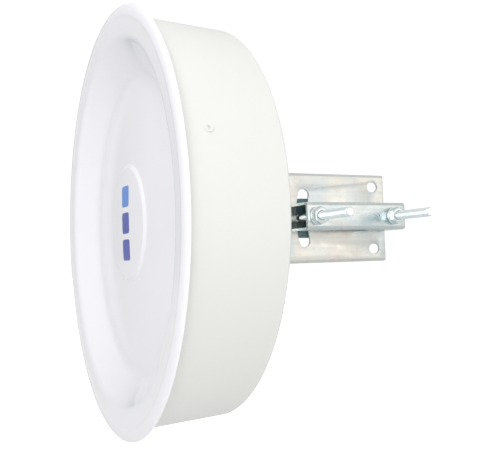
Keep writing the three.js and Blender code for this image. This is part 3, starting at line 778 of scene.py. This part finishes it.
def make_reflector():
    edge = size("reflector").x / 2
    four_focal = REFLECTOR_RADIUS ** 2 / (VERTEX - REFLECTOR_FRONT)

    def bowl(radius):
        return VERTEX - radius ** 2 / four_focal

    radii = [FLAT_RADIUS + (REFLECTOR_RADIUS - FLAT_RADIUS) * k / 16 for k in range(1, 16)]
    front = [(r, bowl(r)) for r in radii]
    back = [(r, bowl(r) + REFLECTOR_WALL) for r in reversed(radii)]
    rim = REFLECTOR_FRONT
    corners = [
        (TUBE_RADIUS + GAP, bowl(FLAT_RADIUS)),
        (FLAT_RADIUS, bowl(FLAT_RADIUS), 6),
        *front,
        (REFLECTOR_RADIUS, rim, 2),
        (edge, rim, 0.6),
        (edge, rim + REFLECTOR_WALL, 0.6),
        (REFLECTOR_RADIUS, rim + REFLECTOR_WALL, 4),
        *back,
        (FLAT_RADIUS, bowl(FLAT_RADIUS) + REFLECTOR_WALL, 6),
        (TUBE_RADIUS + GAP, bowl(FLAT_RADIUS) + REFLECTOR_WALL),
    ]
    piece(turned("reflector_bowl", rounded(corners), sides=288, sharp=SOFT), "reflector", SPUN)


def make_rim_screw(node):
    """A pan head screw through the shroud's rear flange."""
    low, high = dish_box(node)
    origin = Vector((centre(node).x, DISH.y, centre(node).z))
    seat = SHROUD_REAR + GAP
    corners = [
        (0, low.y),
        (SCREW_SHANK_RADIUS, low.y, 0.4),
        (SCREW_SHANK_RADIUS, seat, 0.1),
        (RIM_HEAD_RADIUS, seat, 0.3),
        (RIM_HEAD_RADIUS, high.y, 1.7),
        (0, high.y),
    ]
    screw = turned(node + "_head", rounded(corners), Y, origin, 32)
    carve(screw, cross_cutters(Y, origin, high.y, 0.9, 2.2, 1.4))
    piece(screw, node, BRIGHT)


def dress_sealed_nodes():
    """The feed is sealed inside the drum, so its CAD nodes stay and only take their materials."""
    looks = {
        "feed_flange": MACHINED,
        "feed_tube": MACHINED,
        "feed_dielectric": PTFE,
        "sub_reflector": MACHINED,
        "sub_reflector_screw": BRIGHT,
    }
    for node, look in looks.items():
        kept = frame["nodes"][node]
        kept.data.materials.clear()
        kept.data.materials.append(look)


# ---------------------------------------------------------------- transducer and ports

BLOCK_CORNER = 4
PORT_Y = centre("port_shell_1").y
PORT_AXES = {"1": -Z, "2": -X}
PORT_FLANGE = 20
PORT_SCREW_OFFSET = 7.2
PORT_THREAD = 7.9  # crest radius
PORT_THREAD_ROOT = 7.25
PORT_THREAD_PITCH = 1.06
PORT_BORE = 5.4
PORT_BACK_BORE = 3.4
PORT_THREAD_START = 7.5
PORT_THREAD_END = 21


def make_transducer():
    low, high = dish_box("transducer_block")
    outline = rectangle(0, 0, high.x - low.x, high.z - low.z, BLOCK_CORNER)
    block = placed(
        plate_mesh(outline, [], high.y - low.y, 0.5), "transducer_body", Z, X, DISH + Y * low.y * MM,
    )
    piece(block, "transducer_block", MACHINED)

    low, high = dish_box("transducer_end_cap")
    radius = high.x
    face = high.y
    corners = [
        (0, low.y),
        (radius - 1.8, low.y),
        (radius - 1.8, face - 3),
        (radius, face - 3, 0.3),
        (radius, face, 0.6),
        (radius - 5, face, 0.4),
        (radius - 5.6, face - 0.8, 0.3),
        (radius - 7, face - 0.8, 0.3),
        (radius - 7.6, face, 0.4),
        (0, face),
    ]
    piece(turned("end_cap_disc", rounded(corners), sides=96), "transducer_end_cap", MACHINED)


def make_port(number):
    """A threaded coaxial socket on a square flange with four screws."""
    axis = PORT_AXES[number]
    origin = Vector((DISH.x, PORT_Y, DISH.z))
    base = TUBE_RADIUS
    side = Y.cross(axis)
    up = axis.cross(side)
    spots = [(PORT_SCREW_OFFSET * u, PORT_SCREW_OFFSET * v) for u in (-1, 1) for v in (-1, 1)]
    holes = [circle(u, v, 1.4, 16) for u, v in spots]
    sheet = plate_mesh(rectangle(0, 0, PORT_FLANGE, PORT_FLANGE, 2.5), holes, 3, 0.3)
    flange_place = origin + axis * (base + GAP) * MM
    flange = placed(sheet, f"port_flange_{number}", side, up, flange_place)
    start, end = base + PORT_THREAD_START, base + PORT_THREAD_END
    crest, root, pitch = PORT_THREAD, PORT_THREAD_ROOT, PORT_THREAD_PITCH
    shape = [(crest, 0.05), (crest, 0.2), (root, 0.55), (root, 0.7)]
    ridges = []
    for k in range(int((end - start) / pitch)):
        ridges += [(radius, start + (k + share) * pitch) for radius, share in shape]
    corners = [
        (PORT_BACK_BORE, base + 2),
        (PORT_THREAD, base + 2),
        (PORT_THREAD, base + 6.2),
        (7.0, base + 6.6),
        (7.0, start),
        *ridges,
        (7.1, end + 0.7),
        (PORT_BORE + 0.3, end + 0.7),
        (PORT_BORE, end + 0.3),
        (PORT_BORE, base + 9),
        (PORT_BACK_BORE, base + 9),
    ]
    outline = [Vector(corner) for corner in corners]
    barrel = turned(f"port_barrel_{number}", outline, axis, origin, 64)
    node = f"port_shell_{number}"
    piece(barrel, node, NICKEL)
    extra(flange, BODY_OF[node], NICKEL)

    top = base + 5
    corners = [
        (0, base + 1),
        (1.3, base + 1),
        (1.3, base + 3.3),
        (2.1, base + 3.3),
        (2.1, top, 0.9),
        (0, top),
    ]
    for i, (u, v) in enumerate(spots, 1):
        spot = origin + (side * u + up * v) * MM
        screw = turned(f"port_{number}_screw_{i}", rounded(corners), axis, spot, 24)
        carve(screw, cross_cutters(axis, spot, top, 0.5, 1.2, 0.8))
        extra(screw, BODY_OF[node], BRIGHT)

    tip = rounded([(0, base - 14), (1.5, base - 14), (1.5, base + 17, 1.2), (0, base + 17)])
    piece(turned(f"port_contact_{number}", tip, axis, origin, 24), f"port_pin_{number}", BRASS)
    sleeve = rounded([(1.8, base - 2), (3, base - 2), (3, base + 12, 0.3), (1.8, base + 12, 0.2)])
    piece(turned(f"port_sleeve_{number}", sleeve, axis, origin, 32), f"port_insulator_{number}", PTFE)


# ---------------------------------------------------------------- bracket

BOLT_HEIGHT = (centre("backing_bar").z - DISH.z) / MM
SIDE_FACE = dish_box("side_plate")[1].x
SIDE_THICKNESS = 3
SIDE_BEND = 3.5
SLOT_BOLT_Y = (centre("slot_bolt").y - DISH.y) / MM
PIVOT_BOLT_Y = (centre("pivot_bolt").y - DISH.y) / MM
SLOT_WIDTH = 14
SLOT_HALF_ANGLE = math.radians(14.9)
CORNER_HOLE_Y = 310
CORNER_HOLE_SPACING = 73.4
CORNER_HOLE = (14.5, 11.5)
HUB_OFFSET = 35
HUB_BOLT_RADIUS = 3
HUB_PITCH = 1.0
HUB_FLATS = 10
HUB_HEAD = 4
HUB_WASHER_RADIUS = 6


def make_base_plate():
    low, high = dish_box("base_plate")
    outline = rectangle(BOLT_HEIGHT, 0, high.z - low.z, high.x - low.x, 9)
    bores = [circle(sz * HUB_OFFSET, sx * HUB_OFFSET, 3.4, 32) for sx in (-1, 1) for sz in (-1, 1)]
    bores.append(circle(0, 0, TUBE_RADIUS + GAP, 64))
    sheet = plate_mesh(outline, bores, high.y - low.y, 0.45)
    piece(placed(sheet, "hub_plate", Z, X, DISH + Y * low.y * MM), "base_plate", PASSIVATED)


def arc_slot():
    """The slot's outline in (depth, height), round the pivot bolt."""
    half = SLOT_WIDTH / 2
    radius = PIVOT_BOLT_Y - SLOT_BOLT_Y

    def spot(angle, r):
        return Vector((PIVOT_BOLT_Y - r * math.cos(angle), r * math.sin(angle)))

    steps = [SLOT_HALF_ANGLE * k / 8 for k in range(-8, 9)]
    outer = [spot(a, radius + half) for a in steps]
    inner = [spot(a, radius - half) for a in reversed(steps)]
    ends = []
    for sign in (1, -1):
        middle = spot(sign * SLOT_HALF_ANGLE, radius)
        spokes = [sign * math.radians(15 * k) for k in range(1, 12)]
        start = (outer[-1] if sign > 0 else inner[-1]) - middle
        ends.append([middle + Matrix.Rotation(-abs(turn), 2) @ start for turn in spokes])
    return outer + ends[0] + inner + ends[1]


def make_side_plate():
    low, high = dish_box("side_plate")
    height = high.z - low.z
    edge = developed_length(SIDE_FACE, height, SIDE_BEND, low.x)
    outline = [Vector(p) for p in ((low.y, -edge), (high.y, -edge), (high.y, edge), (low.y, edge))]
    holes = [arc_slot(), circle(PIVOT_BOLT_Y, 0, 5.5)]
    for side in (-1, 1):
        holes.append(rectangle(CORNER_HOLE_Y, side * CORNER_HOLE_SPACING / 2, *CORNER_HOLE, 5.74))
    sheet = bent_sheet("side_channel", outline, holes, SIDE_THICKNESS, height, SIDE_BEND, SIDE_FACE)
    piece(sheet, "side_plate", PASSIVATED)


def weld_bead(name, path, outward):
    """A fillet weld along straight runs of (x, z) points on the base plate."""
    bm = bmesh.new()
    foot = dish_box("base_plate")[1].y
    leg, ripple, pitch, step = 2.6, 0.22, 1.6, 0.4
    sections = []
    travelled = 0
    for (a, b), out in zip(zip(path, path[1:]), outward):
        start, end, side = Vector(a), Vector(b), Vector(out)
        count = max(2, round((end - start).length / step))
        for k in range(count + 1):
            here = start.lerp(end, k / count)
            swell = 1 + ripple * abs(math.sin(math.pi * (travelled + k * step) / pitch))
            ring = []
            for j in range(7):
                angle = math.pi / 2 * j / 6
                bulge = leg * swell * 0.8
                out_by = bulge * math.cos(angle)
                up_by = bulge * math.sin(angle)
                spot = here + side * out_by
                ring.append(bm.verts.new(DISH + Vector((spot.x, foot + up_by, spot.y)) * MM))
            ring.append(bm.verts.new(DISH + Vector((here.x - side.x, foot, here.y - side.y)) * MM))
            sections.append(ring)
        travelled += (end - start).length
    for here, there in zip(sections, sections[1:]):
        for i in range(8):
            j = (i + 1) % 8
            bm.faces.new((here[i], here[j], there[j], there[i]))
    bm.faces.new(sections[0])
    bm.faces.new(sections[-1])
    return finish_mesh(bm, name, SOFT)


def make_welds():
    low, high = dish_box("side_plate")
    web = weld_bead("weld_outer", [(high.x, low.z + 5), (high.x, high.z - 5)], [(1, 0)])
    top = weld_bead("weld_top", [(high.x - 4, high.z), (low.x + 1, high.z)], [(0, 1)])
    bottom = weld_bead("weld_bottom", [(high.x - 4, low.z), (low.x + 1, low.z)], [(0, -1)])
    for bead in (web, top, bottom):
        extra(bead, BODY_OF["base_plate"], PASSIVATED)


def make_hub_fasteners():
    """Each hub bolt has a hexagon head inside the bowl, and a washer and nut on the base plate."""
    for bolt, washer, nut in zip(numbered("hub_bolt"), numbered("hub_washer"), numbered("hub_nut")):
        origin = Vector((centre(bolt).x, DISH.y, centre(bolt).z))
        start, end = depths(bolt)
        bm = bmesh.new()
        turn_mesh(bm, hexagon_profile(HUB_FLATS, start, HUB_HEAD, 0, TAU / 12), Y, origin, 72)
        thread_mesh(bm, Y, origin, HUB_BOLT_RADIUS, HUB_PITCH, start + HUB_HEAD - 0.5, end, 24)
        piece(finish_mesh(bm, bolt + "_threaded"), bolt, BRIGHT)
        low, high = depths(washer)
        bore = HUB_BOLT_RADIUS + 0.3
        outer = HUB_WASHER_RADIUS
        ring = rounded([(bore, low, 0.2), (outer, low, 0.3), (outer, high, 0.3), (bore, high, 0.2)])
        piece(turned(washer + "_ring", ring, Y, origin, 48), washer, BRIGHT)
        low, high = depths(nut)
        bore = HUB_BOLT_RADIUS + 0.2
        obj = hexagon(nut + "_hex", HUB_FLATS, low, high - low, bore, Y, origin, TAU / 12)
        piece(obj, nut, BRIGHT)


# ---------------------------------------------------------------- pole clamp

NECK = 10
HEAD_RADIUS = 12
BOLT_RADIUS = 5
BOLT_PITCH = 1.5
THREAD_LENGTH = 84
CHANNEL_THICKNESS = 3
CHANNEL_BEND = 4
NOTCH_FLOOR_X = 56.5
NOTCH_FLOOR_HALF = 13
NOTCH_MOUTH_HALF = 38
NOTCH_TEETH = 5
NOTCH_TOOTH = 1.8
NUT_FLATS = 17


def bolt_origin(node):
    return Vector((DISH.x, centre(node).y, centre(node).z))


def make_backing_bar():
    low, high = dish_box("backing_bar")
    middle = (low.y + high.y) / 2
    outline = rectangle(middle, BOLT_HEIGHT, high.y - low.y, high.z - low.z, 12)
    side = NECK + 2 * GAP
    holes = [rectangle(y, BOLT_HEIGHT, side, side, 1) for y in (SLOT_BOLT_Y, PIVOT_BOLT_Y)]
    sheet = plate_mesh(outline, holes, high.x - low.x, 0.7)
    # The bar takes the dark teal steel whose colour is painted shade from the clamp channel and the
    # slot.
    piece(placed(sheet, "clamp_bar", Y, Z, DISH + X * low.x * MM), "backing_bar", DARK_STEEL_PAINTED_SHADE)


def make_carriage_bolt(node):
    """A domed head and square neck behind the bar, then a plain shank with a long thread."""
    low, high = dish_box(node)
    origin = bolt_origin(node)
    bar_back = dish_box("backing_bar")[0].x
    head_face = bar_back - GAP
    plain_end = high.x - THREAD_LENGTH
    rise = head_face - low.x - 0.8
    swing = [TAU / 4 * k / 12 for k in range(13)]
    dome = [(HEAD_RADIUS * math.sin(a), low.x + rise * (1 - math.cos(a))) for a in swing]
    profile = dome + [(HEAD_RADIUS, head_face), (0, head_face)]
    bm = bmesh.new()
    turn_mesh(bm, lambda angle: profile, X, origin, 64)
    shank = rounded([
        (0, head_face - 1),
        (BOLT_RADIUS, head_face - 1),
        (BOLT_RADIUS, plain_end, 0.4),
        (0, plain_end),
    ])
    turn_mesh(bm, lambda angle: shank, X, origin, 32)
    thread_mesh(bm, X, origin, BOLT_RADIUS, BOLT_PITCH, plain_end - 1, high.x, 32)
    bolt = finish_mesh(bm, node + "_threaded")
    neck_length = SIDE_FACE - SIDE_THICKNESS - 2 * GAP - head_face + 1
    neck = plate_mesh(rectangle(0, 0, NECK, NECK, 1), [], neck_length, 0.4)
    square = placed(neck, node + "_neck", Y, Z, origin + X * (head_face - 1) * MM)
    piece(bolt, node, BRIGHT)
    extra(square, BODY_OF[node], BRIGHT)


def toothed_flange(sign, edge_of):
    """One flange's edge in the flat pattern, with its toothed V notch. edge_of maps X to v."""
    edge_x = dish_box("clamp_channel")[0].x
    middle = (SLOT_BOLT_Y + PIVOT_BOLT_Y) / 2
    mouth = Vector((SIDE_FACE - 1, NOTCH_MOUTH_HALF))
    floor = Vector((NOTCH_FLOOR_X, NOTCH_FLOOR_HALF))
    along = floor - mouth
    outward = Vector((along.y, -along.x)).normalized() * -NOTCH_TOOTH
    slant = []
    for tooth in range(NOTCH_TEETH):
        slant.append(mouth + along * (tooth + 0.5) / NOTCH_TEETH + outward)
        slant.append(mouth + along * (tooth + 1) / NOTCH_TEETH)
    tip_share = (edge_x - mouth.x) / (slant[0].x - mouth.x)
    start = mouth.lerp(slant[0], tip_share)
    climb = [start, *slant]
    left = [Vector((middle - p.y, sign * edge_of(p.x))) for p in climb]
    right = [Vector((middle + p.y, sign * edge_of(p.x))) for p in reversed(climb)]
    return left + right


def make_clamp_channel():
    low, high = dish_box("clamp_channel")
    height = high.z - low.z

    def edge_of(x):
        return developed_length(high.x, height, CHANNEL_BEND, x)

    edge = edge_of(low.x)
    bottom = [Vector((low.y, -edge)), *toothed_flange(-1, edge_of), Vector((high.y, -edge))]
    top = [Vector((low.y, edge)), *toothed_flange(1, edge_of), Vector((high.y, edge))]
    holes = [circle(y, 0, 5.5) for y in (SLOT_BOLT_Y, PIVOT_BOLT_Y)]
    sheet = bent_sheet(
        "jaw_channel", bottom + top[::-1], holes, CHANNEL_THICKNESS, height, CHANNEL_BEND, high.x,
    )
    piece(sheet, "clamp_channel", JAW_ZINC)


def make_washer(node):
    low, high = dish_box(node)
    radius = size(node).y / 2
    bore = BOLT_RADIUS + 0.4
    corners = [
        (bore, low.x, 0.3),
        (radius, low.x, 0.3),
        (radius, high.x, 0.7),
        (bore, high.x, 0.3),
    ]
    piece(turned(node + "_ring", rounded(corners), X, bolt_origin(node), 64), node, BRIGHT)


def make_nut(node):
    low, high = dish_box(node)
    bore = BOLT_RADIUS + 0.1
    nut = hexagon(node + "_hex", NUT_FLATS, low.x, high.x - low.x, bore, X, bolt_origin(node))
    piece(nut, node, BRIGHT)


# ---------------------------------------------------------------- stage, light and camera

CAMERA_AZIMUTH = math.radians(64.23)
CAMERA_ELEVATION = math.radians(-2.90)
CAMERA_ROLL = math.radians(-1.75)
CAMERA_PLACE = Vector((0.7146, -0.1858, -0.0428))
CAMERA_LENS = 50.4
FLOOR_DROP = 0.35
FLOOR_GLOW = 0.7  # lifts the floor to the backdrop's white where the camera sees it
FLOOR_FILL = 0.06  # a faint glow that lights the object from below


def make_camera():
    data = bpy.data.cameras.new("camera")
    data.lens = CAMERA_LENS
    data.sensor_width = 36
    data.clip_start = 0.01
    camera = bpy.data.objects.new("camera", data)
    bpy.context.scene.collection.objects.link(camera)
    level = math.cos(CAMERA_ELEVATION)
    back = Vector((
        math.sin(CAMERA_AZIMUTH) * level,
        -math.cos(CAMERA_AZIMUTH) * level,
        math.sin(CAMERA_ELEVATION),
    ))
    turn = (-back).to_track_quat("-Z", "Y").to_matrix() @ Matrix.Rotation(CAMERA_ROLL, 3, "Z")
    camera.matrix_world = Matrix.Translation(DISH + CAMERA_PLACE) @ turn.to_4x4()
    bpy.context.scene.camera = camera


def make_floor():
    low = cad_box[0][2] - FLOOR_DROP
    bm = bmesh.new()
    bmesh.ops.create_grid(bm, x_segments=8, y_segments=8, size=30)
    bm.transform(Matrix.Translation((0, 0, low)))
    floor = finish_mesh(bm, "floor")
    look = Look("floor_paper")
    look.color(look.ramp(look.noise(3.0, 3.0), (0.3, 0.78), (0.7, 0.80)))
    look.roughness(look.noise(8.0, 2.0), 0.85, 0.95)
    look.shader.inputs["Emission Color"].default_value = (1, 1, 1, 1)
    seen = look.node("ShaderNodeLightPath").outputs["Is Camera Ray"]
    glow = look.math("ADD", look.math("MULTIPLY", seen, FLOOR_GLOW), FLOOR_FILL)
    look.plug(glow, look.shader.inputs["Emission Strength"])
    floor.data.materials.append(look.material)


def make_softbox(name, place, target, width, height, power):
    data = bpy.data.lights.new(name, "AREA")
    data.shape = "RECTANGLE"
    data.size = width
    data.size_y = height
    data.energy = power
    lamp = bpy.data.objects.new(name, data)
    bpy.context.scene.collection.objects.link(lamp)
    aim = (Vector(target) - Vector(place)).to_track_quat("-Z", "Y").to_matrix().to_4x4()
    lamp.matrix_world = Matrix.Translation(place) @ aim


# Parts of the studio that differ from its white walls: the direction, how wide (the cosine at
# which the patch starts and is full) and the colour.
WALL_COLOR = (0.62, 0.62, 0.62)
WALL_PATCHES = [
    ((0.10, -0.10, 1.00), 0.00, 0.90, (0.92, 0.92, 0.92)),
    ((-0.90, 0.45, 0.00), 0.80, 0.88, (0.10, 0.19, 0.21)),
    ((0.87, 0.48, -0.12), 0.82, 0.99, (1.80, 1.68, 1.64)),
]


def make_world():
    world = bpy.data.worlds.new("studio")
    world.use_nodes = True
    tree = world.node_tree
    nodes, link = tree.nodes, tree.links.new
    direction = nodes.new("ShaderNodeTexCoord").outputs["Generated"]
    color = None
    for toward, start, full, tint in WALL_PATCHES:
        dot = nodes.new("ShaderNodeVectorMath")
        dot.operation = "DOT_PRODUCT"
        dot.inputs[1].default_value = Vector(toward).normalized()
        link(direction, dot.inputs[0])
        share = nodes.new("ShaderNodeMapRange")
        share.interpolation_type = "SMOOTHSTEP"
        share.inputs["From Min"].default_value = start
        share.inputs["From Max"].default_value = full
        link(dot.outputs["Value"], share.inputs["Value"])
        blend = nodes.new("ShaderNodeMix")
        blend.data_type = "RGBA"
        blend.inputs[6].default_value = (*WALL_COLOR, 1)
        blend.inputs[7].default_value = (*tint, 1)
        link(share.outputs["Result"], blend.inputs[0])
        if color:
            link(color, blend.inputs[6])
        color = blend.outputs[2]
    walls = nodes["Background"]
    link(color, walls.inputs["Color"])
    backdrop = nodes.new("ShaderNodeBackground")
    backdrop.inputs["Color"].default_value = (1, 1, 1, 1)
    backdrop.inputs["Strength"].default_value = 1.05
    choose = nodes.new("ShaderNodeMixShader")
    link(nodes.new("ShaderNodeLightPath").outputs["Is Camera Ray"], choose.inputs["Fac"])
    link(walls.outputs[0], choose.inputs[1])
    link(backdrop.outputs[0], choose.inputs[2])
    link(choose.outputs[0], nodes["World Output"].inputs["Surface"])
    bpy.context.scene.world = world


# ---------------------------------------------------------------- the whole scene

make_camera()
make_radome()
make_mark()
make_gasket()
make_shroud()
for screw in numbered("shroud_screw"):
    make_shroud_screw(screw)
make_reflector()
for screw in numbered("rim_screw"):
    make_rim_screw(screw)
make_transducer()
for port in PORT_AXES:
    make_port(port)
make_base_plate()
make_side_plate()
make_welds()
make_hub_fasteners()
make_backing_bar()
make_clamp_channel()
for bolt_name in ("slot", "pivot"):
    make_carriage_bolt(bolt_name + "_bolt")
    make_washer(bolt_name + "_washer")
    make_nut(bolt_name + "_nut")

dress_sealed_nodes()

make_floor()
make_world()
make_softbox("key_softbox", (2.3, -1.2, 0.0), (0, -0.15, 0), 2.0, 2.0, 25)
make_softbox("front_softbox", (0.55, -0.65, 0.6), (0, -0.15, 0), 0.5, 0.5, 1.35)
bpy.context.scene.view_settings.view_transform = "Standard"
bpy.context.scene.view_settings.look = "None"
